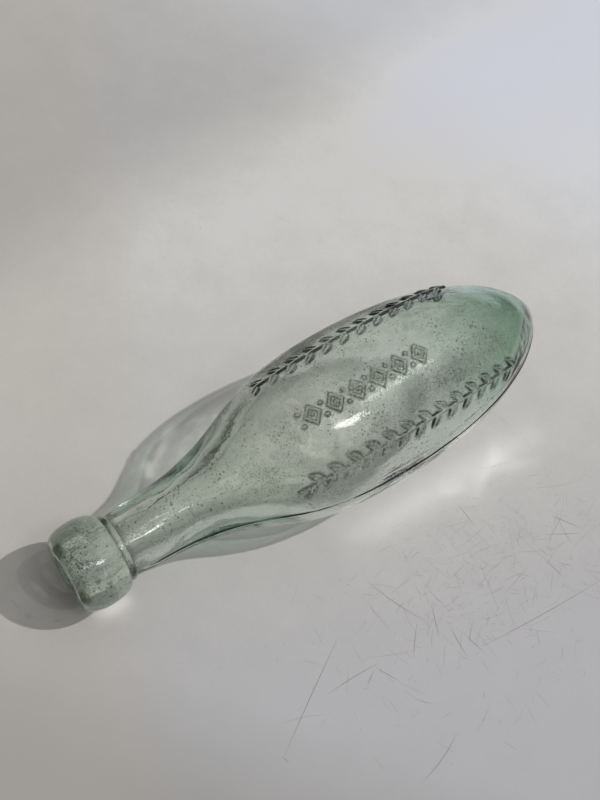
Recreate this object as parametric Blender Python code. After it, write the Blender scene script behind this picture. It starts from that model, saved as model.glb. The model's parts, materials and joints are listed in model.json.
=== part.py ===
"""A round-ended soda bottle of blown glass that lies on its side, with a lip of glass laid round its neck.

The outlines are drawn as radius over height, with the height running up the bottle's axis from the tip of
its base to its mouth. Each outline is spun round that axis, and an empty then lays the bottle down on its
belly and its lip.
"""

import math

import bmesh
import bpy

# Outside of the body, in metres, from the tip of the base upwards
BASE_HEIGHT = 0.0936
SHOULDER_HEIGHT = 0.1052
NECK_HEIGHT = 0.0100
BELLY_DIAMETER = 0.0718
NECK_ROOT_DIAMETER = 0.0287
NECK_TOP_DIAMETER = 0.0264

# How full the curves of the body are, as shares of the height or radius that each runs through
TIP_ROUND_SHARE = 0.20
BASE_FULLNESS_SHARE = 0.81
BELLY_FULLNESS_SHARE = 0.54
NECK_SWEEP_SHARE = 0.51

# Glass of the body
BASE_WALL = 0.0052
BELLY_WALL = 0.0036
NECK_WALL = 0.0052
BORE_BELOW_NECK = 0.0130
SHEARED_EDGE_ROUND = 0.0008

# Seam of the two mould halves, from one side of the neck round the base to the other
SEAM_HEIGHT = 0.0004
SEAM_WIDTH = 0.0012
SEAM_TURN_DEGREES = 97.5

# Applied lip
LIP_HEIGHT = 0.0212
LIP_WALL = 0.0051
LIP_FULLEST_SHARE = 0.48
MOUTH_RIM_WIDTH = 0.0053
MOUTH_ROUND = 0.0012
COLLAR_HEIGHT = 0.0030
COLLAR_WALL = 0.0009
CREASE_DEPTH = 0.0004
NECK_IN_LIP_HEIGHT = 0.0085

# Gap between the two pieces of glass where the lip is fused to the neck
FUSE_CLEARANCE = 0.0003

# Looks of the glass
BODY_GLASS_COLOUR = (0.66, 0.76, 0.70)
BODY_GLASS_ROUGHNESS = 0.04
LIP_GLASS_COLOUR = (0.50, 0.64, 0.57)
LIP_GLASS_ROUGHNESS = 0.06
GLASS_IOR = 1.5

# Faces: sides round the axis, and steps along each curve
SIDES = 48
BASE_STEPS = 15
SHOULDER_STEPS = 16
INNER_STEPS = 12
LIP_STEPS = 8
ROUND_STEPS = 3
MERGE_SHARE = 0.00001
SHARP_EDGE_DEGREES = 40

# Worked out from the sizes above
BELLY_RADIUS = BELLY_DIAMETER / 2
NECK_ROOT_RADIUS = NECK_ROOT_DIAMETER / 2
NECK_TOP_RADIUS = NECK_TOP_DIAMETER / 2
BORE_RADIUS = NECK_TOP_RADIUS - NECK_WALL
SHOULDER_TOP = BASE_HEIGHT + SHOULDER_HEIGHT
CREASE_LEVEL = SHOULDER_TOP + NECK_HEIGHT
MOUTH_LEVEL = CREASE_LEVEL + LIP_HEIGHT
SHEARED_END = CREASE_LEVEL + NECK_IN_LIP_HEIGHT
SEAT_RADIUS = NECK_TOP_RADIUS + FUSE_CLEARANCE


def curve_through(start, start_handle, end_handle, end, steps):
    """The points of one cubic curve, from its start to its end."""
    points = []
    for step in range(steps + 1):
        t = step / steps
        shares = ((1 - t) ** 3, 3 * t * (1 - t) ** 2, 3 * t * t * (1 - t), t ** 3)
        corners = (start, start_handle, end_handle, end)
        points.append(tuple(sum(s * c[i] for s, c in zip(shares, corners)) for i in (0, 1)))
    return points


def quarter_round(start, end, steps, out_first):
    """The points of a quarter of an ellipse between two (radius, height) points, the start left out."""
    points = []
    for step in range(1, steps + 1):
        angle = math.pi / 2 * step / steps
        across, along = math.sin(angle), 1 - math.cos(angle)
        if not out_first:
            across, along = along, across
        radius = start[0] + (end[0] - start[0]) * across
        height = start[1] + (end[1] - start[1]) * along
        points.append((radius, height))
    return points


def base_curve(radius, tip, steps):
    """The egg-shaped end, from its tip on the axis out to the belly."""
    depth = BASE_HEIGHT - tip
    return curve_through(
        (0, tip),
        (radius * TIP_ROUND_SHARE, tip),
        (radius, BASE_HEIGHT - depth * BASE_FULLNESS_SHARE),
        (radius, BASE_HEIGHT),
        steps,
    )


def shoulder_curve(belly_radius, neck_radius, top, steps):
    """The long shoulder, from the belly up to where the neck or its bore runs straight."""
    rise = top - BASE_HEIGHT
    return curve_through(
        (belly_radius, BASE_HEIGHT),
        (belly_radius, BASE_HEIGHT + rise * BELLY_FULLNESS_SHARE),
        (neck_radius, top - rise * NECK_SWEEP_SHARE),
        (neck_radius, top),
        steps,
    )


def moulded_outline():
    """The outside that the mould gives the body, from the tip of the base to the foot of the neck."""
    egg = base_curve(BELLY_RADIUS, 0, BASE_STEPS)
    shoulder = shoulder_curve(BELLY_RADIUS, NECK_ROOT_RADIUS, SHOULDER_TOP, SHOULDER_STEPS)
    return egg + shoulder[1:]


def body_outline():
    """The blown body: up its outside, over the sheared end of the neck and down its inside."""
    outside = moulded_outline()
    outside.append((NECK_TOP_RADIUS, CREASE_LEVEL - COLLAR_HEIGHT))
    edge_foot = (NECK_TOP_RADIUS, SHEARED_END - SHEARED_EDGE_ROUND)
    edge_top = (NECK_TOP_RADIUS - SHEARED_EDGE_ROUND, SHEARED_END)
    sheared = [edge_foot] + quarter_round(edge_foot, edge_top, ROUND_STEPS, False)
    sheared.append((BORE_RADIUS, SHEARED_END))
    hollow_radius = BELLY_RADIUS - BELLY_WALL
    hollow_top = SHOULDER_TOP - BORE_BELOW_NECK
    inside = shoulder_curve(hollow_radius, BORE_RADIUS, hollow_top, INNER_STEPS)
    inside.reverse()
    inside += base_curve(hollow_radius, BASE_WALL, INNER_STEPS)[-2::-1]
    return outside + sheared + inside


def lip_outline():
    """The lip: up its collar and barrel, over the flat rim, down the bore and over the seat of the neck."""
    collar_foot = CREASE_LEVEL - COLLAR_HEIGHT
    collar_radius = SEAT_RADIUS + COLLAR_WALL
    crease = (collar_radius - CREASE_DEPTH, CREASE_LEVEL)
    fullest = (SEAT_RADIUS + LIP_WALL, CREASE_LEVEL + LIP_HEIGHT * LIP_FULLEST_SHARE)
    rim_edge = (BORE_RADIUS + MOUTH_RIM_WIDTH, MOUTH_LEVEL)
    seat_level = SHEARED_END + FUSE_CLEARANCE
    points = [(SEAT_RADIUS, collar_foot), (collar_radius, collar_foot)]
    points += [(collar_radius, CREASE_LEVEL - CREASE_DEPTH), crease]
    points += quarter_round(crease, fullest, LIP_STEPS, True)
    points += quarter_round(fullest, rim_edge, LIP_STEPS, False)
    rim_inside = (BORE_RADIUS + MOUTH_ROUND, MOUTH_LEVEL)
    points.append(rim_inside)
    points += quarter_round(rim_inside, (BORE_RADIUS, MOUTH_LEVEL - MOUTH_ROUND), ROUND_STEPS, True)
    points += [(BORE_RADIUS, seat_level), (SEAT_RADIUS, seat_level)]
    return points


def spun_solid(name, outline, closed, material, parent):
    """One object: the outline spun round the height axis into a closed body, a flat side facing down."""
    mesh = bpy.data.meshes.new(name)
    shape = bmesh.new()
    first_side = math.pi / SIDES
    corners = [
        shape.verts.new((radius * math.cos(first_side), radius * math.sin(first_side), height))
        for radius, height in outline
    ]
    runs = list(zip(corners, corners[1:]))
    if closed:
        runs.append((corners[-1], corners[0]))
    edges = [shape.edges.new(run) for run in runs]
    bmesh.ops.spin(
        shape,
        geom=corners + edges,
        cent=(0, 0, 0),
        axis=(0, 0, 1),
        angle=2 * math.pi,
        steps=SIDES,
        use_duplicate=False,
    )
    bmesh.ops.remove_doubles(shape, verts=shape.verts, dist=MERGE_SHARE * MOUTH_LEVEL)
    bmesh.ops.recalc_face_normals(shape, faces=shape.faces)
    shape.to_mesh(mesh)
    shape.free()
    mesh.materials.append(material)
    mesh.shade_smooth()
    mesh.set_sharp_from_angle(angle=math.radians(SHARP_EDGE_DEGREES))
    piece = bpy.data.objects.new(name, mesh)
    bpy.context.scene.collection.objects.link(piece)
    piece.parent = parent
    return piece


def beside(outline, distance):
    """The outline moved outwards by this distance, square to its own run."""
    moved = []
    for index, (radius, height) in enumerate(outline):
        before = outline[max(index - 1, 0)]
        after = outline[min(index + 1, len(outline) - 1)]
        across, along = after[0] - before[0], after[1] - before[1]
        if index == 0:
            across, along = 1, 0
        length = math.hypot(across, along)
        moved.append((radius + distance * along / length, height - distance * across / length))
    return moved


def seam_blade(parent):
    """The mould seam as a thin hoop that stands a little proud of the body and is rooted in its wall."""
    half = moulded_outline()
    root_depth = min(BASE_WALL, BELLY_WALL) / 2
    crests, roots = beside(half, SEAM_HEIGHT), beside(half, -root_depth)
    crests = [(-radius, height) for radius, height in crests[:0:-1]] + crests
    roots = [(-radius, height) for radius, height in roots[:0:-1]] + roots
    mesh = bpy.data.meshes.new("seam_blade")
    shape = bmesh.new()
    near_side = -SEAM_WIDTH / 2
    outer = [shape.verts.new((radius, near_side, height)) for radius, height in crests]
    inner = [shape.verts.new((radius, near_side, height)) for radius, height in roots]
    strip = [
        shape.faces.new((outer[i], outer[i + 1], inner[i + 1], inner[i]))
        for i in range(len(crests) - 1)
    ]
    raised = bmesh.ops.extrude_face_region(shape, geom=strip)["geom"]
    moved = [item for item in raised if isinstance(item, bmesh.types.BMVert)]
    bmesh.ops.translate(shape, verts=moved, vec=(0, SEAM_WIDTH, 0))
    bmesh.ops.recalc_face_normals(shape, faces=shape.faces)
    shape.to_mesh(mesh)
    shape.free()
    blade = bpy.data.objects.new("seam_blade", mesh)
    bpy.context.scene.collection.objects.link(blade)
    blade.parent = parent
    blade.rotation_euler = (0, 0, math.radians(SEAM_TURN_DEGREES))
    blade.hide_render = True
    blade.display_type = "WIRE"
    return blade


def raise_seam(body, blade):
    """Joins the seam to the body."""
    union = body.modifiers.new("mould_seam", "BOOLEAN")
    union.operation = "UNION"
    union.object = blade


def glass(name, colour, roughness):
    """A clear Principled material of this colour."""
    material = bpy.data.materials.new(name)
    material.use_nodes = True
    shader = material.node_tree.nodes["Principled BSDF"]
    shader.inputs["Base Color"].default_value = (*colour, 1)
    shader.inputs["Roughness"].default_value = roughness
    shader.inputs["Metallic"].default_value = 0
    shader.inputs["IOR"].default_value = GLASS_IOR
    shader.inputs["Transmission Weight"].default_value = 1
    return material


def lying_tilt(body, lip):
    """The slope of the straight line that touches the belly and the lip from below."""
    reach = math.cos(math.pi / SIDES)
    return max(
        min(math.atan2((belly_r - lip_r) * reach, lip_h - belly_h) for lip_r, lip_h in lip)
        for belly_r, belly_h in body
        if belly_h < CREASE_LEVEL
    )


def lay_down(axis, outline, tilt):
    """Turns the axis so that the bottle lies on its side, its mouth towards -X, centred over the origin."""
    reach = math.cos(math.pi / SIDES)
    seam_reach = math.cos(math.radians(SEAM_TURN_DEGREES))
    seam_crest = beside(moulded_outline(), SEAM_HEIGHT)
    spread = [(radius * reach, height) for radius, height in outline]
    spread += [(radius * seam_reach, height) for radius, height in seam_crest]
    rise, run = math.sin(tilt), math.cos(tilt)
    depth = max(height * rise + radius * run for radius, height in spread)
    mouth_end = max(height * run + radius * rise for radius, height in spread)
    base_end = max(radius * rise - height * run for radius, height in spread)
    axis.rotation_euler = (0, -math.pi / 2 - tilt, 0)
    axis.location = ((mouth_end - base_end) / 2, 0, depth)


def main():
    for old in list(bpy.data.objects):
        bpy.data.objects.remove(old)
    body, lip = body_outline(), lip_outline()
    axis = bpy.data.objects.new("bottle_axis", None)
    bpy.context.scene.collection.objects.link(axis)
    lay_down(axis, body + lip, lying_tilt(body, lip))
    body_glass = glass("aqua_body_glass", BODY_GLASS_COLOUR, BODY_GLASS_ROUGHNESS)
    lip_glass = glass("aqua_lip_glass", LIP_GLASS_COLOUR, LIP_GLASS_ROUGHNESS)
    glass_body = spun_solid("glass_body", body, False, body_glass, axis)
    raise_seam(glass_body, seam_blade(axis))
    spun_solid("applied_lip", lip, True, lip_glass, axis)


main()
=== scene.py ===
"""The looks of a round-ended soda bottle of pale aqua glass, lying on its side on a pale table."""

import json
import math

import bmesh
import bpy
import numpy as np
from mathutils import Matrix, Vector


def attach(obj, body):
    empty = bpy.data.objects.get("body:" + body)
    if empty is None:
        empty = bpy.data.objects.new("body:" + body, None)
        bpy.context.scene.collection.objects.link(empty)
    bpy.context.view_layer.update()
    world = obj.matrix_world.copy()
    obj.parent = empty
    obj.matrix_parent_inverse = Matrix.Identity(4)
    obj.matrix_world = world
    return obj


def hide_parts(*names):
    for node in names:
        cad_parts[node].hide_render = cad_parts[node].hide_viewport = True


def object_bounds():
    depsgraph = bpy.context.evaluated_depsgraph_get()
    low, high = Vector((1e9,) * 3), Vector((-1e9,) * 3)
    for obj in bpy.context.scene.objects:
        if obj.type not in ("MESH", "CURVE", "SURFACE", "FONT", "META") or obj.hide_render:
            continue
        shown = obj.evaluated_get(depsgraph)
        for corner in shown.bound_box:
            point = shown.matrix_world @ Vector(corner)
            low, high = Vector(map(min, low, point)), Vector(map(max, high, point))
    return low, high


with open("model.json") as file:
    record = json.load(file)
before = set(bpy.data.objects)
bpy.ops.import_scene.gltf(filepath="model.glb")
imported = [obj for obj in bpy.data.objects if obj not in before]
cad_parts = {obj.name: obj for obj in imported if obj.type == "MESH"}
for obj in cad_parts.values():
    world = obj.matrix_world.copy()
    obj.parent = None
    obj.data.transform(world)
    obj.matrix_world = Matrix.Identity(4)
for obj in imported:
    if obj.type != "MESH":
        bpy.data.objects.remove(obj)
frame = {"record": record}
cad_low, cad_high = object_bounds()

MM = 0.001

# Outside of the body, from the tip of its base upwards
BASE_HEIGHT = 93.6 * MM
SHOULDER_HEIGHT = 105.2 * MM
NECK_HEIGHT = 10.0 * MM
BELLY_RADIUS = 35.9 * MM
NECK_ROOT_RADIUS = 14.35 * MM
NECK_TOP_RADIUS = 13.2 * MM
TIP_ROUND_SHARE = 0.20
BASE_FULLNESS_SHARE = 0.81
BELLY_FULLNESS_SHARE = 0.54
NECK_SWEEP_SHARE = 0.51

# Glass of the body
BASE_WALL = 5.2 * MM
BELLY_WALL = 3.6 * MM
BORE_RADIUS = 8.0 * MM
BORE_BELOW_NECK = 13.0 * MM
SHEARED_EDGE_ROUND = 0.8 * MM
SEAM_HEIGHT = 0.4 * MM
SEAM_HALF_WIDTH = 0.55 * MM
SEAM_TURN = math.radians(97.5)

# Applied lip
LIP_HEIGHT = 21.2 * MM
LIP_RADIUS = 18.6 * MM
LIP_FULLEST_SHARE = 0.48
MOUTH_RIM_WIDTH = 5.3 * MM
MOUTH_ROUND = 1.2 * MM
COLLAR_HEIGHT = 3.0 * MM
COLLAR_RADIUS = 14.4 * MM
CREASE_DEPTH = 0.4 * MM
NECK_IN_LIP_HEIGHT = 8.5 * MM

SHOULDER_TOP = BASE_HEIGHT + SHOULDER_HEIGHT
CREASE_LEVEL = SHOULDER_TOP + NECK_HEIGHT
COLLAR_FOOT = CREASE_LEVEL - COLLAR_HEIGHT
MOUTH_LEVEL = CREASE_LEVEL + LIP_HEIGHT
SHEARED_END = CREASE_LEVEL + NECK_IN_LIP_HEIGHT

# The glass is round where the frame has flat sides, so it is drawn in a little to stay in the frame's box
FLAT_SIDE_SHARE = math.cos(math.pi / 48)
BODY_DRAWN_IN = 0.25 * MM
LIP_DRAWN_IN = 0.05 * MM
FUSED_OVERLAP = 0.05 * MM
NECK_SKIN = NECK_TOP_RADIUS * FLAT_SIDE_SHARE - BODY_DRAWN_IN

# Spacing of the mesh: along the axis, round it, and closer where the raised ornament needs it
PLAIN_STEP = 1.6 * MM
FINE_STEP = 0.49 * MM
INNER_STEP = 2.0 * MM
PLAIN_TURN = math.radians(3.0)
FINE_TURN = math.radians(0.6)
INNER_SIDES = 96
LIP_SIDES = 180

# Where the bottle lies: its axis runs through the middle of the mouth, square to the flat rim
mouth = frame["record"]["mounts"][0]
RUN = Vector(mouth["axis"]).normalized()
SIDE = Vector((0, 1, 0))
UP = SIDE.cross(RUN)
TIP = Vector((mouth["pos_m"][0], 0, mouth["pos_m"][2])) - RUN * MOUTH_LEVEL

# Camera, fitted to the outline of the bottle and of its shadow in the 600 x 800 photograph: its lens in
# pixels, its film in millimetres, its place in metres and its turns in degrees
PHOTO_HEIGHT = 800
FOCAL_PIXELS = 1300
FILM = 36
CAMERA_PLACE = (-0.2400, -0.1581, 0.4826)
CAMERA_TURNS = (31.657, -12.685, -35.102)

# Raised ornament: three straight rows along one face of the mould. Each has its kind, its distance from the
# middle line of that face, measured over the glass towards the front, the heights between which it runs, and
# how much dirt and painted shade it holds
FACE_TURN = math.radians(21)
ROWS = (
    ("sprig", -34.5 * MM, 34 * MM, 134 * MM, 0.60),
    ("lozenges", -8.0 * MM, 66 * MM, 134 * MM, 0.95),
    ("sprig", 17.5 * MM, 28 * MM, 140 * MM, 1.1),
)
ROW_HALF_WIDTH = 5.6 * MM
RELIEF = 0.85 * MM
RELIEF_EDGE = 0.55 * MM
SPRIG_PITCH = 8.4 * MM
LEAF_LENGTH = 8.0 * MM
LEAF_HALF_WIDTH = 2.0 * MM
LEAF_SLANT = math.radians(42)
LEAF_ROOT_OFF = 0.3 * MM
GROOVE_SHARE = 0.6
GROOVE_HALF_WIDTH = 0.4 * MM
STEM_HALF_WIDTH = 0.7 * MM
LOZENGE_PITCH = 10.2 * MM
LOZENGE_HALF_LENGTH = 4.3 * MM
LOZENGE_HALF_WIDTH = 5.2 * MM
LOZENGE_MIDDLE_TO_SIDE = 3.3 * MM
LOZENGE_RIM_WIDTH = 1.3 * MM
BOSS_RADIUS = 1.1 * MM
BEAD_RADIUS = 1.25 * MM
BEAD_OFF = 2.7 * MM

# Dirt and painted shade held by the ornament, darkest on its steep sides: how steep a side has to be to hold
# the most, what spreads to its neighbours and what lies on the flat tops
STEEP_ENOUGH = 0.95
DIRT_AND_SHADE_SPREAD = 0.55
DIRT_AND_SHADE_ON_TOPS = 0.12

# Unevenness of hand-blown glass: seed, number of waves, most turns round, least length and size
OUTER_RIPPLE = (3, 26, 5, 30 * MM, 0.05 * MM)
INNER_SWELL = (7, 30, 4, 34 * MM, 0.26 * MM)
INNER_RIPPLE = (11, 40, 9, 13 * MM, 0.09 * MM)
LIP_RIPPLE = (21, 18, 4, 26 * MM, 0.12 * MM)
BUBBLE_COUNT = 70


def curve_through(start, start_handle, end_handle, end, steps):
    """Points (radius, height) of one cubic curve."""
    t = np.linspace(0, 1, steps + 1)[:, None]
    corners = [np.array(c, float) for c in (start, start_handle, end_handle, end)]
    shares = ((1 - t) ** 3, 3 * t * (1 - t) ** 2, 3 * t * t * (1 - t), t ** 3)
    return sum(share * corner for share, corner in zip(shares, corners))


def quarter_round(start, end, steps, out_first):
    """Points of a quarter of an ellipse between two points, the start left out."""
    angle = np.linspace(0, math.pi / 2, steps + 1)[1:]
    across, along = np.sin(angle), 1 - np.cos(angle)
    if not out_first:
        across, along = along, across
    start, end = np.array(start), np.array(end)
    return start + (end - start) * np.stack([across, along], 1)


def base_curve(radius, tip):
    """The egg-shaped end, from its tip out to the belly."""
    depth = BASE_HEIGHT - tip
    return curve_through(
        (0, tip),
        (radius * TIP_ROUND_SHARE, tip),
        (radius, BASE_HEIGHT - depth * BASE_FULLNESS_SHARE),
        (radius, BASE_HEIGHT),
        600,
    )


def shoulder_curve(belly_radius, neck_radius, top):
    """The long shoulder, from the belly up to the straight neck or bore."""
    climb = top - BASE_HEIGHT
    return curve_through(
        (belly_radius, BASE_HEIGHT),
        (belly_radius, BASE_HEIGHT + climb * BELLY_FULLNESS_SHARE),
        (neck_radius, top - climb * NECK_SWEEP_SHARE),
        (neck_radius, top),
        600,
    )


def outer_curve():
    """The outside of the body, from the tip of the base to where the neck is sheared off."""
    return np.concatenate([
        base_curve(BELLY_RADIUS, 0),
        shoulder_curve(BELLY_RADIUS, NECK_ROOT_RADIUS, SHOULDER_TOP)[1:],
        [(NECK_TOP_RADIUS, COLLAR_FOOT), (NECK_TOP_RADIUS, SHEARED_END - SHEARED_EDGE_ROUND)],
    ])


def inner_curve():
    """The hollow of the body, from its lowest point up to the end of the bore."""
    return np.concatenate([
        base_curve(BELLY_RADIUS - BELLY_WALL, BASE_WALL),
        shoulder_curve(BELLY_RADIUS - BELLY_WALL, BORE_RADIUS, SHOULDER_TOP - BORE_BELOW_NECK)[1:],
        [(BORE_RADIUS, SHEARED_END - 0.4 * MM)],
    ])


def spaced(points, step_at):
    """The same run with points as far apart as step_at(height) says."""
    gaps = np.hypot(*np.diff(points, axis=0).T)
    middle = (points[1:, 1] + points[:-1, 1]) / 2
    count = np.concatenate([[0], np.cumsum(gaps / step_at(middle))])
    wanted = np.linspace(0, count[-1], max(2, int(math.ceil(count[-1])) + 1))
    return np.stack([np.interp(wanted, count, points[:, i]) for i in (0, 1)], 1)


def ripple(angle, height, seed, waves, turns, length, size):
    """A smooth uneven field round the bottle, of waves with up to so many turns and this long or longer."""
    draw = np.random.RandomState(seed)
    total = np.zeros(np.broadcast(angle, height).shape)
    for _ in range(waves):
        turn = draw.randint(0, turns + 1)
        pitch = draw.uniform(0.15, 1) * 2 * math.pi / length
        start = draw.uniform(0, 2 * math.pi, 2)
        total += np.cos(turn * angle + start[0]) * np.cos(pitch * height + start[1])
    return total * size / math.sqrt(waves / 4)


def rise(distance, width):
    """0 to 1 over this width as distance goes from 0 upwards."""
    t = np.clip(distance / width, 0, 1)
    return t * t * (3 - 2 * t)


def leaf(along, across, root, slant):
    """Height of one pointed leaf with a groove down its middle."""
    x, y = along - root[0], across - root[1]
    down = x * math.cos(slant) + y * math.sin(slant)
    over = -x * math.sin(slant) + y * math.cos(slant)
    t = np.clip(down / LEAF_LENGTH, 0, 1)
    half = LEAF_HALF_WIDTH * np.sin(math.pi * t ** 0.75)
    edge = half - np.abs(over)
    inside = (down > 0) & (down < LEAF_LENGTH)
    groove = 1 - GROOVE_SHARE * np.exp(-(over / GROOVE_HALF_WIDTH) ** 2) * (t > 0.12)
    return np.where(inside, rise(edge, RELIEF_EDGE) * groove, 0)


def sprig(along, across, length):
    """A running sprig of leaves, which stand to its two sides by turns."""
    stem = rise(STEM_HALF_WIDTH + RELIEF_EDGE / 2 - np.abs(across), RELIEF_EDGE)
    height = stem * rise(along, RELIEF_EDGE) * rise(length - along, RELIEF_EDGE)
    for k in range(int(length / SPRIG_PITCH)):
        for way in (1, -1):
            root = (k + 0.15 + (0.45 if way < 0 else 0)) * SPRIG_PITCH
            height = np.maximum(height, leaf(along, across, (root, way * LEAF_ROOT_OFF), way * LEAF_SLANT))
    return height


def lozenges(along, across, length):
    """A row of hollow lozenges, each with a boss, and beads between them."""
    height = np.zeros(along.shape)
    for k in range(int(length / LOZENGE_PITCH)):
        x = along - (k + 0.5) * LOZENGE_PITCH
        edge = 1 - np.abs(x) / LOZENGE_HALF_LENGTH - np.abs(across) / LOZENGE_HALF_WIDTH
        edge = edge * LOZENGE_MIDDLE_TO_SIDE
        rim = rise(edge, RELIEF_EDGE) * (1 - rise(edge - LOZENGE_RIM_WIDTH, RELIEF_EDGE))
        boss = rise(BOSS_RADIUS - np.hypot(x, across), 0.8 * MM)
        height = np.maximum(height, np.maximum(rim, boss))
        for way in (1, -1):
            far = np.hypot(along - (k + 1) * LOZENGE_PITCH, across - way * BEAD_OFF)
            height = np.maximum(height, rise(BEAD_RADIUS - far, 0.7 * MM))
    return height


def relief(angle, height, radius, run_length):
    """How far the ornament stands up, and the dirt and painted shade it holds. Angles run from the top
    towards the back.
    """
    raised, held_dirt_and_shade = np.zeros(angle.shape), np.zeros(angle.shape)
    for kind, offset, low, high, dirt_and_shade in ROWS:
        inside = (height[:, 0] > low) & (height[:, 0] < high)
        across = wrapped(angle[inside] + FACE_TURN) * radius[inside] + offset
        first = run_length[inside][0]
        along = (run_length[inside] - first)[:, None] + 0 * across
        shape = sprig if kind == "sprig" else lozenges
        near = np.abs(across) < ROW_HALF_WIDTH + RELIEF_EDGE
        row = np.where(near, shape(along, across, along[-1, 0]), 0)
        raised[inside] = np.maximum(raised[inside], RELIEF * row)
        held_dirt_and_shade[inside] = np.where(near, dirt_and_shade, held_dirt_and_shade[inside])
    return raised, held_dirt_and_shade


def wrapped(angle):
    """The angle brought between -pi and pi."""
    return (angle + math.pi) % (2 * math.pi) - math.pi


def seam(angle, radius):
    """The seam of the mould, on both sides of the bottle."""
    raised = 0
    for turn in (SEAM_TURN, SEAM_TURN + math.pi):
        off = np.abs(wrapped(angle - turn)) * radius
        raised = np.maximum(raised, SEAM_HEIGHT * np.exp(-(off / SEAM_HALF_WIDTH) ** 2))
    return raised


def turns_round():
    """Angles round the bottle, closer together at the ornament and at the seam."""
    outer = outer_curve()
    fine = [(wrapped(SEAM_TURN + half), math.radians(2)) for half in (0, math.pi)]
    for _, offset, low, high, _ in ROWS:
        narrow = np.interp((low, high), outer[:, 1], outer[:, 0]).min()
        ends = [sign * ROW_HALF_WIDTH + offset for sign in (-1, 1)]
        turns = [end / size for end in ends for size in (narrow, BELLY_RADIUS)]
        fine.append((wrapped(-FACE_TURN - (max(turns) + min(turns)) / 2), (max(turns) - min(turns)) / 2))
    grid = np.linspace(-math.pi, math.pi, 7201)
    middle = (grid[1:] + grid[:-1]) / 2
    step = np.full(middle.shape, PLAIN_TURN)
    for place, reach in fine:
        off = np.abs(wrapped(middle - place))
        blend = np.clip((off - reach) / math.radians(4), 0, 1)
        step = np.minimum(step, FINE_TURN + (PLAIN_TURN - FINE_TURN) * blend)
    count = np.concatenate([[0], np.cumsum((grid[1] - grid[0]) / step)])
    wanted = np.linspace(0, count[-1], int(count[-1]) + 1)[:-1]
    return np.interp(wanted, count, grid)


def world_points(angle, radius, height):
    """Points in the frame from their place round, out from and up the bottle's axis."""
    up, side = radius * np.cos(angle), radius * np.sin(angle)
    place = np.array(TIP) + height[..., None] * np.array(RUN)
    return place + up[..., None] * np.array(UP) + side[..., None] * np.array(SIDE)


class Skin:
    """Rings of points and the faces between them, gathered into one mesh, with how much dirt and painted
    shade each point holds.
    """

    def __init__(self):
        self.points, self.faces, self.soil, self.total = [], [], [], 0

    def add(self, points, faces, soil=0.0):
        """Adds points and faces on them, and returns the number of the first point."""
        first = self.total
        self.points.append(points)
        self.faces += [np.asarray(block) + first for block in faces]
        self.soil.append(np.zeros(len(points)) + soil)
        self.total += len(points)
        return first

    def rings(self, points, soil=0.0):
        """Adds a block of rings, (rings, sides, 3), and returns the numbers of its points."""
        rings, sides = points.shape[:2]
        number = np.arange(rings * sides).reshape(rings, sides)
        a, b = number[:-1], number[1:]
        quads = np.stack([a, np.roll(a, -1, 1), np.roll(b, -1, 1), b], -1).reshape(-1, 4)
        return number + self.add(points.reshape(-1, 3), [quads], np.ravel(soil))

    def cap(self, ring, centre, flip):
        """Closes a small ring with a fan."""
        middle = self.add(np.array([centre], float), [])
        fan = np.stack([ring, np.roll(ring, -1), np.full(len(ring), middle)], -1)
        self.faces.append(fan[:, ::-1] if flip else fan)

    def join(self, lower, upper):
        """Quads between two rings of the same count."""
        self.faces.append(np.stack([lower, np.roll(lower, -1), np.roll(upper, -1), upper], -1))

    def stitch(self, lower, lower_angle, upper, upper_angle):
        """Triangles between two rings of different counts, whose angles both start near -pi."""
        lower, upper = np.append(lower, lower[0]), np.append(upper, upper[0])
        lower_angle = np.append(lower_angle, lower_angle[0] + 2 * math.pi)
        upper_angle = np.append(upper_angle, upper_angle[0] + 2 * math.pi)
        i = j = 0
        made = []
        while i < len(lower) - 1 or j < len(upper) - 1:
            if j == len(upper) - 1 or (i < len(lower) - 1 and lower_angle[i + 1] <= upper_angle[j + 1]):
                made.append((lower[i], lower[i + 1], upper[j]))
                i += 1
            else:
                made.append((lower[i], upper[j + 1], upper[j]))
                j += 1
        self.faces.append(np.array(made))

    def bubble(self, centre, radii, axes, soil=0.0):
        """A closed cavity in the glass: a stretched ball whose faces look inwards."""
        corner = math.radians(30)
        tall = np.linspace(math.pi / 2 - corner, corner - math.pi / 2, 5)
        round_it = np.linspace(0, 2 * math.pi, 9)[:-1]
        tall, round_it = np.meshgrid(tall, round_it, indexing="ij")
        ball = np.stack([np.sin(tall), np.cos(tall) * np.cos(round_it), np.cos(tall) * np.sin(round_it)], -1)
        axes = np.array([list(axis) for axis in axes])
        ring = self.rings(centre + (ball * radii) @ axes, soil + 0 * ball[..., 0])
        self.cap(ring[0], centre + radii[0] * axes[0], True)
        self.cap(ring[-1], centre - radii[0] * axes[0], False)

    def mesh(self, name):
        """The finished mesh, kept within the frame's box."""
        points = np.concatenate(self.points)
        points = np.clip(points, np.array(cad_low), np.array(cad_high))
        loops = np.concatenate([block.ravel() for block in self.faces])
        sizes = np.concatenate([np.full(len(block), block.shape[1]) for block in self.faces])
        mesh = bpy.data.meshes.new(name)
        mesh.vertices.add(len(points))
        mesh.vertices.foreach_set("co", points.astype(np.float32).ravel())
        mesh.loops.add(len(loops))
        mesh.loops.foreach_set("vertex_index", loops.astype(np.int32))
        mesh.polygons.add(len(sizes))
        starts = np.concatenate([[0], np.cumsum(sizes)[:-1]])
        mesh.polygons.foreach_set("loop_start", starts.astype(np.int32))
        mesh.polygons.foreach_set("use_smooth", np.ones(len(sizes), bool))
        layer = mesh.attributes.new("soil", "FLOAT", "POINT")
        layer.data.foreach_set("value", np.concatenate(self.soil).astype(np.float32))
        mesh.update()
        mesh.validate()
        return mesh


def shown(name, mesh, material, replaced):
    """One piece of the bottle, which rides on its only body."""
    piece = bpy.data.objects.new(name, mesh)
    bpy.context.scene.collection.objects.link(piece)
    mesh.materials.append(material)
    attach(piece, "root")
    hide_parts(replaced)


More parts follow.
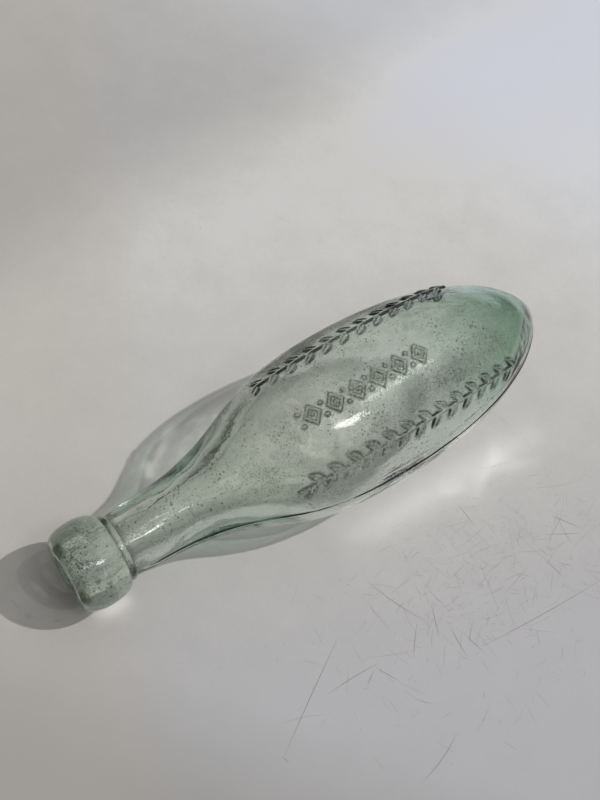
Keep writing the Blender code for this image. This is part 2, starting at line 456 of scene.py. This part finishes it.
def square_out(points):
    """Unit directions square to a run of (radius, height) points, outwards from the axis."""
    run = np.gradient(points, axis=0)
    out = np.stack([run[:, 1], -run[:, 0]], 1)
    return out / np.maximum(np.hypot(*out.T)[:, None], 1e-12)


def outer_step(height):
    """Mesh step along the outside of the body."""
    low = min(row[2] for row in ROWS) - 2 * MM
    high = max(row[3] for row in ROWS) + 2 * MM
    return np.where((height > low) & (height < high), FINE_STEP, PLAIN_STEP)


def spot(angle, height, radius, place):
    """1 at the middle of a patch (turn, height, half width, half length), falling to 0 at its rim."""
    turn, level, half_width, half_length = place
    across = wrapped(angle + math.radians(turn)) * radius / half_width
    along = (height - level) / half_length
    return rise(1 - np.hypot(across, along), 1)


# Old stains on the body, some of them painted shade: turn in degrees from the top towards the front, height,
# half width, half length and strength
STAINS_AND_PAINTED_SHADE = (
    (-9, 43 * MM, 4 * MM, 9 * MM, 0.5),
    (-3, 102 * MM, 5 * MM, 12 * MM, 0.35),
    (-15, 87 * MM, 5 * MM, 9 * MM, 0.3),
    (7, 24 * MM, 5 * MM, 6 * MM, 0.3),
    (-38, 203 * MM, 1.6 * MM, 2.2 * MM, 1.0),
    (66, 203 * MM, 3 * MM, 4 * MM, 0.7),
    (-25, 192 * MM, 3 * MM, 9 * MM, 0.15),
    (62, 138 * MM, 5 * MM, 8 * MM, 0.35),
    # Partly dirt, partly painted shade: the upper rim of the shoulder darkened
    (-62, 152 * MM, 13 * MM, 36 * MM, 0.95),
    (-40, 136 * MM, 9 * MM, 10 * MM, 0.45),
    # Partly dirt, partly painted shade: the upper rim of the belly darkened
    (-56, 96 * MM, 12 * MM, 90 * MM, 1.0),
    (-50, 60 * MM, 14 * MM, 26 * MM, 0.4),
    # Painted shade: a dark patch low on the front of the belly
    (31, 66 * MM, 13 * MM, 50 * MM, 0.76),
)


def body_outside(skin, angle):
    """The outside with ornament, seam, stains and painted shade, up to the neck's end. Returns its points'
    numbers.
    """
    out = spaced(outer_curve(), outer_step)[1:]
    run_length = np.concatenate([[0], np.cumsum(np.hypot(*np.diff(out, axis=0).T))])
    normal = square_out(out)
    around = angle[None, :] + np.zeros((len(out), 1))
    height = out[:, 1][:, None] + 0 * around
    radius = out[:, 0][:, None] + 0 * around
    fade = rise(out[:, 0], 6 * MM)[:, None] * rise(CREASE_LEVEL - 6 * MM - out[:, 1], 8 * MM)[:, None]
    ornament, held_dirt_and_shade = relief(around, height, radius, run_length)
    steep = np.hypot(
        np.gradient(ornament, run_length, axis=0),
        np.gradient(ornament, angle, axis=1) / np.maximum(radius, MM),
    )
    # Dirt and painted shade on the ornament, darkest on its steep sides
    soil = np.clip(steep / STEEP_ENOUGH, 0, 1)
    for axis, way in ((0, 1), (0, -1), (1, 1), (1, -1)):
        soil = np.maximum(soil, DIRT_AND_SHADE_SPREAD * np.roll(soil, way, axis))
    soil = np.maximum(soil, DIRT_AND_SHADE_ON_TOPS * (ornament > 0.1 * MM)) * held_dirt_and_shade
    # Stains, with painted shade along the upper rim and low on the front of the belly
    for *place, strength in STAINS_AND_PAINTED_SHADE:
        soil = np.maximum(soil, strength * spot(around, height, radius, place))
    soil = np.maximum(soil, 0.9 * np.exp(-((height - COLLAR_FOOT) / (0.8 * MM)) ** 2))
    proud = np.maximum(ornament, seam(around, radius) * fade)
    proud = proud + fade * ripple(around, height, *OUTER_RIPPLE) - BODY_DRAWN_IN
    radius = radius * FLAT_SIDE_SHARE + proud * normal[:, 0][:, None]
    height = height + proud * normal[:, 1][:, None]
    return skin.rings(world_points(around, radius, height), soil)


def body_inside(skin):
    """The uneven hollow, from the bore's end down to the base. Returns its points' numbers and its angles."""
    inner = spaced(inner_curve(), lambda level: np.full(level.shape, INNER_STEP))[1:][::-1]
    angle = np.linspace(-math.pi, math.pi, INNER_SIDES + 1)[:-1]
    around = angle[None, :] + np.zeros((len(inner), 1))
    height = inner[:, 1][:, None] + 0 * around
    calm = rise(inner[:, 0], 9 * MM)[:, None] * rise(SHEARED_END - 12 * MM - inner[:, 1], 12 * MM)[:, None]
    uneven = ripple(around, height, *INNER_SWELL) + ripple(around, height, *INNER_RIPPLE)
    radius = inner[:, 0][:, None] + calm * uneven
    soil = 0.4 * rise(height - SHOULDER_TOP + 6 * MM, 22 * MM)
    return skin.rings(world_points(around, radius, height), soil), angle


def body_bubbles(skin):
    """Seeds of air in the wall, drawn out along the bottle."""
    draw = np.random.RandomState(17)
    outer, inner = outer_curve(), inner_curve()
    for _ in range(BUBBLE_COUNT):
        level = draw.uniform(0.12, 0.97) * CREASE_LEVEL
        angle = draw.uniform(-math.pi, math.pi)
        far = np.interp(level, outer[:, 1], outer[:, 0])
        near = np.interp(level, inner[:, 1], inner[:, 0])
        width = draw.uniform(0.14, 0.34) * MM
        radius = near + (far - near) * draw.uniform(0.35, 0.55)
        centre = world_points(np.array(angle), np.array(radius), np.array(level))
        outwards = np.array(UP) * math.cos(angle) + np.array(SIDE) * math.sin(angle)
        sideways = np.cross(np.array(RUN), outwards)
        stretch = draw.uniform(1.2, 3.4)
        skin.bubble(centre, (width * stretch, width, width * 0.8), (RUN, outwards, sideways))


def body_mesh():
    """The blown body: a thick glass wall, moulded outside and uneven inside, open at the neck."""
    skin = Skin()
    angle = turns_round()
    outside = body_outside(skin, angle)
    foot = (NECK_SKIN, SHEARED_END - SHEARED_EDGE_ROUND)
    edge = quarter_round(foot, (NECK_SKIN - SHEARED_EDGE_ROUND, SHEARED_END), 5, False)
    top = np.concatenate([edge, [(BORE_RADIUS + 0.4 * MM, SHEARED_END), (BORE_RADIUS, SHEARED_END)]])
    around = angle[None, :] + np.zeros((len(top), 1))
    sheared = skin.rings(world_points(around, top[:, :1] + 0 * around, top[:, 1:] + 0 * around))
    inside, inner_angle = body_inside(skin)
    skin.join(outside[-1], sheared[0])
    skin.stitch(sheared[-1], angle, inside[0], inner_angle)
    skin.cap(outside[0], TIP + RUN * BODY_DRAWN_IN, True)
    skin.cap(inside[-1], TIP + RUN * BASE_WALL, False)
    body_bubbles(skin)
    return skin.mesh("glass_body_moulded")


def lip_outline():
    """The lip's section: up its collar and barrel, over the rim, down the bore and over the neck's end."""
    neck = NECK_SKIN - FUSED_OVERLAP
    seat = SHEARED_END - FUSED_OVERLAP
    crease = (COLLAR_RADIUS - CREASE_DEPTH, CREASE_LEVEL)
    fullest = (LIP_RADIUS, CREASE_LEVEL + LIP_HEIGHT * LIP_FULLEST_SHARE)
    rim_edge = (BORE_RADIUS + MOUTH_RIM_WIDTH, MOUTH_LEVEL)
    rim_inside = (BORE_RADIUS + MOUTH_ROUND, MOUTH_LEVEL)
    collar_top = (COLLAR_RADIUS, COLLAR_FOOT + COLLAR_HEIGHT * 0.55)
    outside = [
        [(neck, COLLAR_FOOT)],
        quarter_round((neck, COLLAR_FOOT), collar_top, 6, True),
        [(COLLAR_RADIUS, CREASE_LEVEL - 0.8 * MM), crease],
        quarter_round(crease, fullest, 26, True),
        quarter_round(fullest, rim_edge, 26, False),
        [rim_inside],
        quarter_round(rim_inside, (BORE_RADIUS, MOUTH_LEVEL - MOUTH_ROUND), 6, True),
    ]
    bore = [(BORE_RADIUS, level) for level in np.linspace(MOUTH_LEVEL - MOUTH_ROUND, seat, 8)[1:]]
    seat_edge = (neck - SHEARED_EDGE_ROUND, seat)
    seat_foot = (neck, seat - SHEARED_EDGE_ROUND)
    down = [(neck, level) for level in np.linspace(seat_foot[1], COLLAR_FOOT, 8)[1:-1]]
    return np.concatenate(outside + [bore, [seat_edge], quarter_round(seat_edge, seat_foot, 5, True), down])


# Bubbles and slivers of trapped air in the lip: turn in degrees from the top towards the front, height,
# distance from the axis, half their length up the bottle, outwards and round it, and how much painted shade
# darkens them
LIP_BUBBLES = (
    (44, 221.8 * MM, 16.2 * MM, (1.2 * MM, 0.5 * MM, 1.5 * MM), 1.0),
    (76, 219.4 * MM, 16.4 * MM, (1.0 * MM, 0.5 * MM, 1.3 * MM), 1.3),
    (-20, 213.0 * MM, 14.3 * MM, (3.2 * MM, 0.2 * MM, 0.5 * MM), 0.5),
    (-27, 216.5 * MM, 14.2 * MM, (3.6 * MM, 0.2 * MM, 0.35 * MM), 0.6),
    (20, 224.0 * MM, 12.4 * MM, (0.3 * MM, 0.3 * MM, 2.8 * MM), 0.6),
    (-38, 224.5 * MM, 14.6 * MM, (0.5 * MM, 0.4 * MM, 1.0 * MM), 0.5),
    (5, 216.0 * MM, 16.6 * MM, (0.7 * MM, 0.25 * MM, 0.25 * MM), 0.5),
    (60, 214.5 * MM, 15.6 * MM, (0.8 * MM, 0.3 * MM, 0.3 * MM), 0.5),
    (120, 221.0 * MM, 15.8 * MM, (0.9 * MM, 0.5 * MM, 0.7 * MM), 0.5),
    (-110, 218.0 * MM, 16.0 * MM, (0.8 * MM, 0.4 * MM, 0.9 * MM), 0.5),
)


# Darker patches on the lip, two at the rim of the mouth and old stains in the crease: turn from the top
# towards the front, height, half width and half length
LIP_DARK_PATCHES = (
    (-22, MOUTH_LEVEL - MM, 6 * MM, 4 * MM),
    (58, MOUTH_LEVEL - 0.5 * MM, 8 * MM, 4 * MM),
    (-34, CREASE_LEVEL - 0.5 * MM, 6 * MM, 2 * MM),
    (70, CREASE_LEVEL - MM, 7 * MM, 3 * MM),
)


def lip_mesh():
    """The lip: collar, crease, barrel and flat rim, laid over the neck's end so that the two fuse."""
    whole = lip_outline()
    angle = np.linspace(-math.pi, math.pi, LIP_SIDES + 1)[:-1][None, :] + np.zeros((len(whole), 1))
    radius = whole[:, :1] + 0 * angle
    height = whole[:, 1:] + 0 * angle
    outer = (whole[:, :1] > NECK_SKIN + 0.3 * MM) & (height < MOUTH_LEVEL)
    hand = ripple(angle, height, *LIP_RIPPLE) - 0.1 * MM
    radius = np.where(outer, radius * FLAT_SIDE_SHARE - LIP_DRAWN_IN + np.minimum(hand, 0), radius)
    soil = 0.8 * np.exp(-((height - CREASE_LEVEL) / (0.7 * MM)) ** 2)
    soil = np.maximum(soil, 0.5 * (height < COLLAR_FOOT + 0.6 * MM)) * outer
    soil = np.maximum(soil, 0.30 * (radius < BORE_RADIUS + 0.7 * MM))
    # Darker patches: two at the rim of the mouth, and old stains in the crease
    for place in LIP_DARK_PATCHES:
        soil = np.maximum(soil, 1.5 * outer * spot(angle, height, radius, place))
    skin = Skin()
    number = skin.rings(world_points(angle, radius, height), soil)
    skin.join(number[-1], number[0])
    # The bubbles are darkened by painted shade
    for turn, level, far, radii, bubble_shade in LIP_BUBBLES:
        place = -math.radians(turn)
        outwards = np.array(UP) * math.cos(place) + np.array(SIDE) * math.sin(place)
        centre = world_points(np.array(place), np.array(far), np.array(level))
        skin.bubble(centre, radii, (RUN, outwards, np.cross(np.array(RUN), outwards)), bubble_shade)
    return skin.mesh("lip_tooled")


class Signal:
    """A socket of a material's tree. Python's operators on it add Math nodes."""

    def __init__(self, tree, socket=None):
        self.tree = tree
        self.socket = socket

    def node(self, kind, settings=None, values=None, out=0):
        """A node of this kind, with its settings made first and then its sockets set or linked."""
        made = self.tree.nodes.new("ShaderNode" + kind)
        for name, setting in (settings or {}).items():
            if name == "stops":
                ramp = made.color_ramp
                while len(ramp.elements) < len(setting):
                    ramp.elements.new(0.5)
                for element, (place, colour) in zip(ramp.elements, setting):
                    element.position = place
                    element.color = (*colour, 1)
            else:
                setattr(made, name, setting)
        for name, value in (values or {}).items():
            if isinstance(value, Signal):
                self.tree.links.new(value.socket, made.inputs[name])
            else:
                made.inputs[name].default_value = value
        return Signal(self.tree, made.outputs[out] if made.outputs else None)

    def maths(self, operation, first, second, clamp=False):
        return self.node("Math", {"operation": operation, "use_clamp": clamp}, {0: first, 1: second})

    def __add__(self, other):
        return self.maths("ADD", self, other)

    __radd__ = __add__

    def __sub__(self, other):
        return self.maths("SUBTRACT", self, other)

    def __rsub__(self, other):
        return self.maths("SUBTRACT", other, self)

    def __mul__(self, other):
        return self.maths("MULTIPLY", self, other)

    __rmul__ = __mul__

    def clamped(self):
        return self.maths("ADD", self, 0.0, True)

    def eased(self):
        """This number between 0 and 1, with soft ends."""
        share = self.clamped()
        return share * share * (3.0 - share * 2.0)

    def dyed(self, share, colour):
        """This colour, going over to another one by this share."""
        return self.node("Mix", {"data_type": "RGBA"}, {0: share, 6: self, 7: (*colour, 1)}, out=2)


# How far fine streaks are drawn out along the bottle, and how fast the tints change along it
STREAK_STRETCH = 0.88
TINTS_PER_METRE = 4.0

# Dirt dried on in stains and hollows, with painted shade in some stains, on the ornament's sides and in the
# lip's bubbles, the dark grains in clusters all over the glass, worn skin and streaks
DIRT_AND_SHADE_COLOUR = (0.050, 0.060, 0.034)
GRAIN_COLOUR = (0.050, 0.045, 0.030)
WORN_COLOUR = (0.20, 0.20, 0.14)
COMB_COLOUR = (0.22, 0.27, 0.20)


def new_tree(name):
    """An empty material and the start of its tree."""
    material = bpy.data.materials.new(name)
    material.use_nodes = True
    material.node_tree.nodes.clear()
    return material, Signal(material.node_tree)


def noise(tree, place, scale, detail, **more):
    """A noise between 0 and 1, with its middle at 0.5."""
    return tree.node("TexNoise", values={"Vector": place, "Scale": scale, "Detail": detail, **more})


def far_along(tree, place, way):
    """How far a place lies in this direction."""
    return tree.node("VectorMath", {"operation": "DOT_PRODUCT"}, {0: place, 1: tuple(way)}, out=1)


def grains(tree, place, scale, cluster_scale, reach):
    """A mask of small dark grains, in loose clusters."""
    distance = tree.node("TexVoronoi", values={"Vector": place, "Scale": scale}, out=0)
    cluster = noise(tree, place, cluster_scale, 3.0)
    return (((cluster - 0.3) * reach - distance) * 30.0).clamped()


def glass_material(name, tints, absorbed, density, dull, specked, combed, shades):
    """Clear glass, coloured through its depth, with fine ripples, wear, dirt, painted shade and grains on its
    surfaces.

    The tints run from the mouth's end to the tip of the base. The absorbed colour and its density belong to
    the depth. Dull is the share of light that the surface scatters, specked is the fineness of its grains and
    their reach, and combed is how far fine streaks along the bottle show. The shades are what a lamp's light
    keeps at a surface: mostly, where it is gathered and at the edges."""
    material, tree = new_tree(name)
    place = tree.node("TexCoord", out=3)
    towards_mouth = far_along(tree, place, RUN)
    shortening = {0: tuple(RUN * -STREAK_STRETCH), "Scale": towards_mouth}
    shortened = tree.node("VectorMath", {"operation": "SCALE"}, shortening)
    drawn = tree.node("VectorMath", {"operation": "ADD"}, {0: place, 1: shortened})
    wave = noise(tree, place, 110, 2.0)
    cord = noise(tree, drawn, 260, 2.0)
    fine = noise(tree, place, 620, 3.0)
    blot = noise(tree, place, 70, 6.0, Roughness=0.7)
    grit = noise(tree, place, 1100, 3.0, Roughness=0.7)
    comb = noise(tree, drawn, 900, 2.0)
    haze = noise(tree, place, 32, 5.0, Roughness=0.65)
    streak = noise(tree, place, 95, 1.0, Distortion=1.4)

    # Dirt, and painted shade where the mesh marks it, darkens the glass and roughens it
    soil = tree.node("Attribute", {"attribute_name": "soil"}, out=2)
    dirt_and_shade = (soil * (grit * 2.6 + blot * 1.6 - 1.15)).clamped()
    worn = ((blot - 0.5) * 4.0).clamped()
    hazed = ((haze - 0.44) * 5.0).clamped()
    combs = ((comb - 0.56) * 9.0).clamped() * combed
    scale, reach = specked
    specks = (grains(tree, place, scale, 80, reach) + grains(tree, place, scale * 2.1, 50, reach)).clamped()

    colour = tree.node("ValToRGB", {"stops": tints}, {"Fac": 0.5 - towards_mouth * TINTS_PER_METRE})
    colour = colour.dyed(worn * 0.22, WORN_COLOUR)
    colour = colour.dyed(combs, COMB_COLOUR)
    colour = colour.dyed(dirt_and_shade, DIRT_AND_SHADE_COLOUR)
    colour = colour.dyed(specks * 0.85, GRAIN_COLOUR)
    uneven = wave * 0.4 + cord * 0.28 + fine * 0.11 + grit * 0.03
    bump = tree.node("Bump", values={"Strength": 0.8, "Distance": 0.4 * MM, "Height": uneven})
    glass = tree.node(
        "BsdfPrincipled",
        values={
            "Base Color": colour,
            "Roughness": (worn * 0.06 + dirt_and_shade * 0.35 + dull * 0.5).clamped(),
            "IOR": 1.5,
            "Transmission Weight": 1.0 - dull,
            "Coat Weight": hazed * 0.5 * (1.0 - soil),
            "Coat Roughness": 0.34,
            "Normal": bump,
        },
    )

    lamp_ray = tree.node("LightPath", out="Is Shadow Ray")
    scattered_ray = tree.node("LightPath", out="Is Diffuse Ray")
    facing = tree.node("LayerWeight", values={"Blend": 0.5}, out=1)
    mostly, gathered, at_edges = [
        tree.node("BsdfTransparent", values={"Color": (*shade, 1)}) for shade in shades
    ]
    streaks = ((streak - 0.55) * 9.0).clamped()
    lit = tree.node("MixShader", values={0: streaks, 1: mostly, 2: gathered})
    shaded = tree.node("MixShader", values={0: facing * facing, 1: lit, 2: at_edges})
    seen = tree.node("MixShader", values={0: scattered_ray, 1: glass, 2: mostly})
    surface = tree.node("MixShader", values={0: lamp_ray, 1: seen, 2: shaded})
    depth = tree.node("VolumeAbsorption", values={"Color": (*absorbed, 1), "Density": density})
    tree.node("OutputMaterial", values={"Surface": surface, "Volume": depth})
    return material


# The table's colours, from darker to lighter
TABLE_SHADES = (
    (0.00, (0.342, 0.336, 0.340)),
    (0.20, (0.385, 0.378, 0.380)),
    (0.40, (0.440, 0.430, 0.422)),
    (0.60, (0.505, 0.495, 0.478)),
    (0.72, (0.560, 0.550, 0.536)),
    (0.90, (0.540, 0.545, 0.605)),
)

# Painted light and shade over the table, as slow changes of tone: direction, where each starts, how fast it
# grows, its most, its colour
PAINTED_TONES_ON_TABLE = (
    ((-0.3, -1, 0), 0.04, 15.0, 0.40, (0.40, 0.40, 0.435)),
    ((-1, -0.8, 0), 0.12, 12.0, 0.50, (0.20, 0.19, 0.165)),
    ((-1, 0.5, 0), 0.05, 16.0, 0.30, (0.40, 0.36, 0.30)),
    ((1, 0.3, 0), 0.16, 8.0, 0.35, (0.62, 0.66, 0.76)),
)


def table_material():
    """Pale, slightly glossy board with faint clouds in its colour, and painted light and shade: lighter and
    cooler to one side, darker towards the other, with a painted shadow band.
    """
    material, tree = new_tree("pale_table_top")
    place = tree.node("TexCoord", out=3)
    cloud = noise(tree, place, 9.0, 4.0)
    mottle = noise(tree, place, 60.0, 5.0)
    scuffs = noise(tree, place, 420.0, 4.0, Distortion=1.5)
    # Painted light, growing towards the back
    painted_light_side = far_along(tree, place, (0.35, 1, 0))
    # Painted shadow: a soft darker band further back
    painted_shadow_band = ((far_along(tree, place, (-0.12, 1, 0)) - 0.12) * 12).eased()
    clouds_and_painted_light = painted_light_side * 2 - painted_shadow_band * 0.64 + cloud * 0.3 + mottle * 0.20 + scuffs * 0.18 + 0.07
    colour = tree.node("ValToRGB", {"stops": TABLE_SHADES}, {"Fac": clouds_and_painted_light})
    # Painted light and shade in slow tones
    for way, start, slope, most, shade in PAINTED_TONES_ON_TABLE:
        share = ((far_along(tree, place, way) - start) * slope).eased() * most
        colour = colour.dyed(share, shade)
    paint = tree.node("BsdfPrincipled", values={"Base Color": colour, "Roughness": 0.42})
    tree.node("OutputMaterial", values={"Surface": paint})
    return material


def scratch_material():
    """The darker bottom of a scratch in the board."""
    material, tree = new_tree("scratch_in_board")
    paint = tree.node("BsdfPrincipled", values={"Base Color": (0.25, 0.225, 0.20, 1), "Roughness": 0.6})
    tree.node("OutputMaterial", values={"Surface": paint})
    return material


# Marks on the table: how many, the directions in degrees that most scratches have, and their height over it
SHORT_SCRATCH_COUNT = 420
SPECK_COUNT = 300
SCRATCH_WAYS = (-150, -100, -75, -30, 0)
OVER_TABLE = 0.02 * MM

# The longest scratches: where each starts, its direction in degrees, its length and how much it bends
LONG_SCRATCHES = (
    ((-0.020, -0.067), -150, 63 * MM, 0.5),
    ((-0.074, -0.098), -74, 4 * MM, 0),
    ((-0.047, -0.088), 4, 29 * MM, -5),
    ((-0.021, -0.088), -62, 12 * MM, 0),
    ((-0.021, -0.089), -149, 8 * MM, 0),
    ((0.018, -0.090), -99, 15 * MM, 4),
    ((0.016, -0.104), -6, 75 * MM, 1),
    ((-0.002, -0.053), -76, 34 * MM, 8),
    ((0.018, -0.077), -115, 17 * MM, 0),
    ((0.008, -0.081), -136, 18 * MM, 5),
    ((0.021, -0.095), -78, 13 * MM, 0),
    ((0.075, -0.087), -79, 12 * MM, 0),
    ((0.091, -0.072), -54, 17 * MM, 0),
    ((0.057, -0.047), -89, 13 * MM, 0),
    ((0.081, -0.078), -29, 20 * MM, 3),
    ((-0.005, -0.126), -150, 29 * MM, -13),
)


def staged(name, mesh, material):
    """A piece of the surroundings."""
    piece = bpy.data.objects.new(name, mesh)
    bpy.context.scene.collection.objects.link(piece)
    mesh.materials.append(material)


def table():
    """The pale surface that the bottle lies on."""
    mesh = bpy.data.meshes.new("table_top")
    shape = bmesh.new()
    bmesh.ops.create_circle(shape, cap_ends=True, segments=96, radius=4.0)
    shape.to_mesh(mesh)
    shape.free()
    staged("table_top", mesh, table_material())


def scratch(shape, start, way, length, half, bend):
    """One hair-thin curved scratch, tapered to both ends, as a flat strip just above the table."""
    run = np.linspace(0, length, 9)
    turn = way + bend * run
    middle = np.array(start)[:, None] + np.cumsum([np.cos(turn), np.sin(turn)], 1) * length / 9
    off = half * np.sin(math.pi * np.linspace(0.06, 0.94, 9)) * np.array([-np.sin(turn), np.cos(turn)])
    left, right = [
        [shape.verts.new((x, y, OVER_TABLE)) for x, y in edge.T] for edge in (middle + off, middle - off)
    ]
    for i in range(8):
        shape.faces.new((right[i], right[i + 1], left[i + 1], left[i]))


def table_scratches():
    """Scratches in front of the bottle and a few specks of dust, all in one mesh."""
    draw = np.random.RandomState(5)
    mesh = bpy.data.meshes.new("table_scratches")
    shape = bmesh.new()
    for _ in range(SHORT_SCRATCH_COUNT):
        start = draw.normal(0.045, 0.042), draw.normal(-0.083, 0.022)
        way = math.radians(draw.choice(SCRATCH_WAYS) + draw.normal(0, 14))
        length = draw.exponential(6 * MM) + 1.5 * MM
        scratch(shape, start, way, length, draw.uniform(0.03, 0.07) * MM, draw.normal(0, 25))
    for start, way, length, bend in LONG_SCRATCHES:
        scratch(shape, start, math.radians(way), length, 0.15 * MM, bend)
    for k in range(SPECK_COUNT):
        x, y = draw.uniform(-0.2, 0.25), draw.uniform(-0.18, 0.35)
        if k > 80:
            x, y = draw.normal(0.05, 0.04), draw.normal(-0.075, 0.02)
        if abs(y) < 0.04:
            continue
        size = draw.uniform(0.08, 0.24) * MM
        turns = np.linspace(0, 2 * math.pi, 7)[:-1]
        corners = [(x + size * math.cos(turn), y + size * math.sin(turn), OVER_TABLE) for turn in turns]
        shape.faces.new([shape.verts.new(corner) for corner in corners])
    shape.to_mesh(mesh)
    shape.free()
    staged("table_scratches", mesh, scratch_material())


# Light that the glass gathers and throws on the table, as small lamps just above it that face down and aren't
# seen: place, width and height, turn in degrees and power
THROWN_LIGHT = (
    ((0.060, -0.038, 0.008), (0.120, 0.006), 0, 0.0020),
    ((0.082, -0.041, 0.003), (0.026, 0.001), 12, 0.00008),
    ((0.095, -0.046, 0.003), (0.020, 0.001), -14, 0.00006),
    ((0.070, -0.047, 0.003), (0.018, 0.001), 30, 0.00005),
    ((0.060, -0.042, 0.003), (0.016, 0.001), -20, 0.00005),
    ((0.088, -0.036, 0.003), (0.014, 0.001), 40, 0.00005),
    ((-0.045, 0.036, 0.002), (0.014, 0.002), 35, 0.00005),
    ((-0.054, 0.031, 0.002), (0.008, 0.004), 60, 0.00006),
    ((-0.037, 0.042, 0.002), (0.010, 0.002), 20, 0.00003),
    ((-0.029, 0.012, 0.002), (0.009, 0.002), -25, 0.00002),
    ((-0.025, 0.006, 0.002), (0.007, 0.003), 20, 0.00002),
    ((-0.022, 0.001, 0.002), (0.009, 0.002), -10, 0.00002),
    ((-0.013, 0.012, 0.002), (0.022, 0.001), 6, 0.00002),
    ((0.010, 0.010, 0.001), (0.010, 0.002), 40, 0.00002),
    ((0.009, 0.003, 0.001), (0.008, 0.002), -30, 0.00002),
    ((-0.098, -0.014, 0.004), (0.016, 0.006), 0, 0.00030),
)


# The room's light, from the side away from its windows to the side of them
ROOM_LIGHT_SIDE = Vector((0.36, -0.22, 0.90)).normalized()
ROOM_SHADES = (
    (0.50, (0.09, 0.09, 0.085)),
    (0.67, (0.21, 0.21, 0.205)),
    (0.86, (0.50, 0.50, 0.50)),
    (1.00, (0.72, 0.72, 0.73)),
)


def area_lamp(name, towards, distance, size, power, colour, mirrored):
    """A soft lamp in this direction from the bottle, an ellipse of this width and height.

    A lamp that isn't mirrored leaves no bright spot on gloss or in the glass."""
    lamp = bpy.data.lights.new(name, "AREA")
    lamp.shape = "ELLIPSE"
    lamp.size, lamp.size_y = size
    lamp.energy = power
    lamp.color = colour
    holder = bpy.data.objects.new(name, lamp)
    bpy.context.scene.collection.objects.link(holder)
    towards = Vector(towards).normalized()
    holder.location = towards * distance
    holder.rotation_euler = (-towards).to_track_quat("-Z", "Y").to_euler()
    holder.visible_glossy = mirrored
    holder.visible_transmission = mirrored
    return holder


def lights():
    """A small strong lamp beyond the base end, a window above the front, and a pale room all round."""
    area_lamp("lamp_beside_base", (0.558, -0.260, 0.788), 6.0, (0.12, 0.12), 248, (1.0, 0.99, 0.975), False)
    area_lamp("window_in_front", (0.0, -0.44, 0.895), 1.0, (0.26, 0.11), 0.85, (1.0, 1.0, 0.97), True)
    for number, (place, size, turn, power) in enumerate(THROWN_LIGHT):
        name = "light_thrown_by_glass_%d" % (number + 1)
        thrown = area_lamp(name, (0, 0, 1), 0.1, size, power, (1.0, 1.0, 0.98), False)
        thrown.location = place
        thrown.rotation_euler = 0, 0, math.radians(turn)
        thrown.visible_camera = False
    world = bpy.data.worlds.new("room")
    world.use_nodes = True
    world.node_tree.nodes.clear()
    tree = Signal(world.node_tree)
    lit = far_along(tree, tree.node("TexCoord"), ROOM_LIGHT_SIDE)
    sky = tree.node("ValToRGB", {"stops": ROOM_SHADES}, {"Fac": lit * 0.5 + 0.5})
    back = tree.node("Background", values={"Color": sky, "Strength": 1.0})
    tree.node("OutputWorld", values={"Surface": back})
    bpy.context.scene.world = world


def camera():
    """The photograph's view."""
    data = bpy.data.cameras.new("photo_view")
    data.sensor_width = FILM
    data.lens = FILM * FOCAL_PIXELS / PHOTO_HEIGHT
    data.clip_start = 0.01
    data.clip_end = 20
    eye = bpy.data.objects.new("photo_view", data)
    bpy.context.scene.collection.objects.link(eye)
    eye.location = CAMERA_PLACE
    eye.rotation_euler = [math.radians(turn) for turn in CAMERA_TURNS]
    bpy.context.scene.camera = eye


# Tints along the glass: place from 0 past the mouth to 1 past the tip, and colour
BODY_TINTS = (
    (0.36, (1.000, 0.975, 0.955)),
    (0.58, (0.970, 0.978, 0.948)),
    (0.77, (0.955, 0.995, 0.960)),
    (0.89, (0.670, 0.800, 0.705)),
    (1.00, (0.350, 0.480, 0.390)),
)
LIP_TINTS = ((0.0, (0.935, 1.000, 0.905)), (1.0, (0.935, 1.000, 0.905)))

body_glass = glass_material(
    "aqua_body_glass",
    tints=BODY_TINTS,
    absorbed=(0.40, 0.75, 0.55),
    density=21,
    dull=0.0,
    specked=(560, 0.70),
    combed=0.12,
    shades=((1.0, 0.99, 0.99), (1.30, 1.28, 1.28), (0.16, 0.155, 0.16)),
)
lip_glass = glass_material(
    "aqua_lip_glass",
    tints=LIP_TINTS,
    absorbed=(0.38, 0.80, 0.52),
    density=14,
    dull=0.17,
    specked=(640, 0.94),
    combed=0.5,
    shades=((0.40, 0.39, 0.39), (0.48, 0.47, 0.47), (0.30, 0.30, 0.30)),
)
shown("glass_body_moulded", body_mesh(), body_glass, "glass_body")
shown("lip_tooled", lip_mesh(), lip_glass, "applied_lip")
table()
table_scratches()
lights()
camera()
bpy.context.scene.view_settings.view_transform = "Standard"
